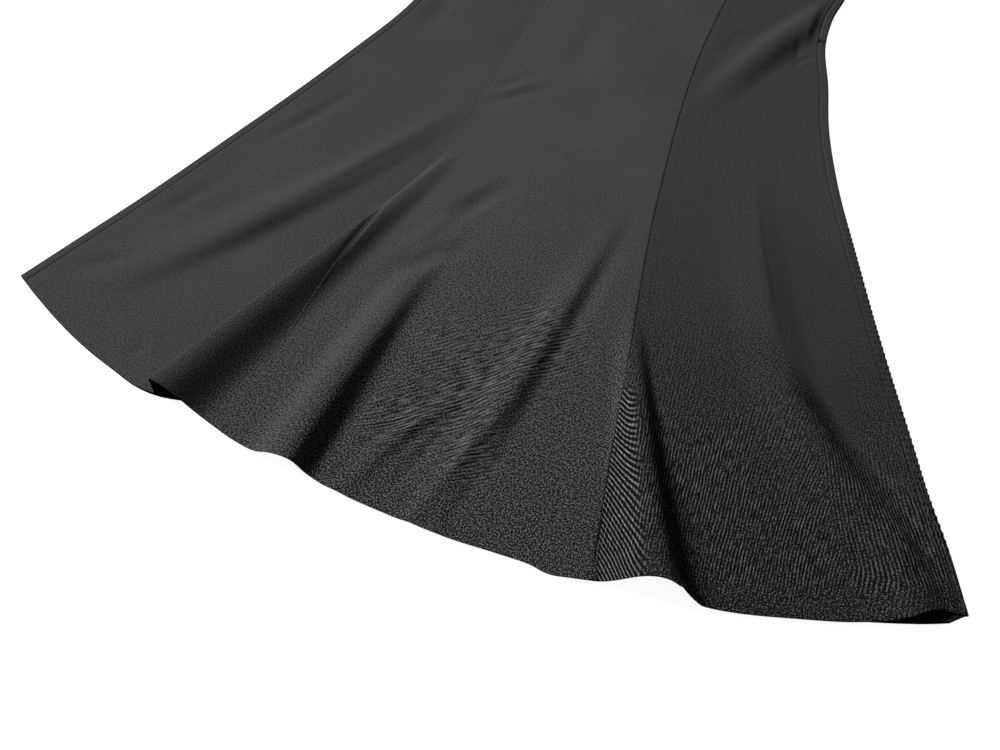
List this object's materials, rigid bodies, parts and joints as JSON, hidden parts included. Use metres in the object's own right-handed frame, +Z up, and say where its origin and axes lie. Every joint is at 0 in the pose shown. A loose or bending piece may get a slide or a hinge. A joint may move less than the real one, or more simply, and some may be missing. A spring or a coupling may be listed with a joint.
{
  "type": "mermaid fishtail skirt laid flat",
  "caption": "Fishtail skirt laid flat, front up: fitted gored body flaring to a wide curved hem with lifted folds, plain waistband, concealed side zip with a hinged pull tab.",
  "frame": {"origin": "centre of the skirt's bounding box, on the surface that it lies on", "axes": "+X across the skirt to the side with the zip, +Y from the hem towards the waist, +Z up, out of the front"},
  "size_m": [0.89, 0.9429, 0.0427],
  "materials": {
    "suiting": "matte-satin charcoal woven suiting",
    "zip_metal": "dark satin lacquered metal"
  },
  "bodies": {
    "skirt": {"front_left": "suiting", "front_centre": "suiting", "front_right": "suiting", "back_left": "suiting", "back_centre": "suiting", "back_right": "suiting", "waistband_front": "suiting", "waistband_back": "suiting", "zip_slider": "zip_metal"},
    "pull": {"zip_pull": "zip_metal"}
  },
  "joints": [
    {"name": "pull_swing", "type": "hinge", "parent": "skirt", "child": "pull", "pos_m": [0.16495, 0.46126, 0.0072], "axis": [-0.8741, -0.4857, 0], "range_deg": [0, 170]}
  ]
}
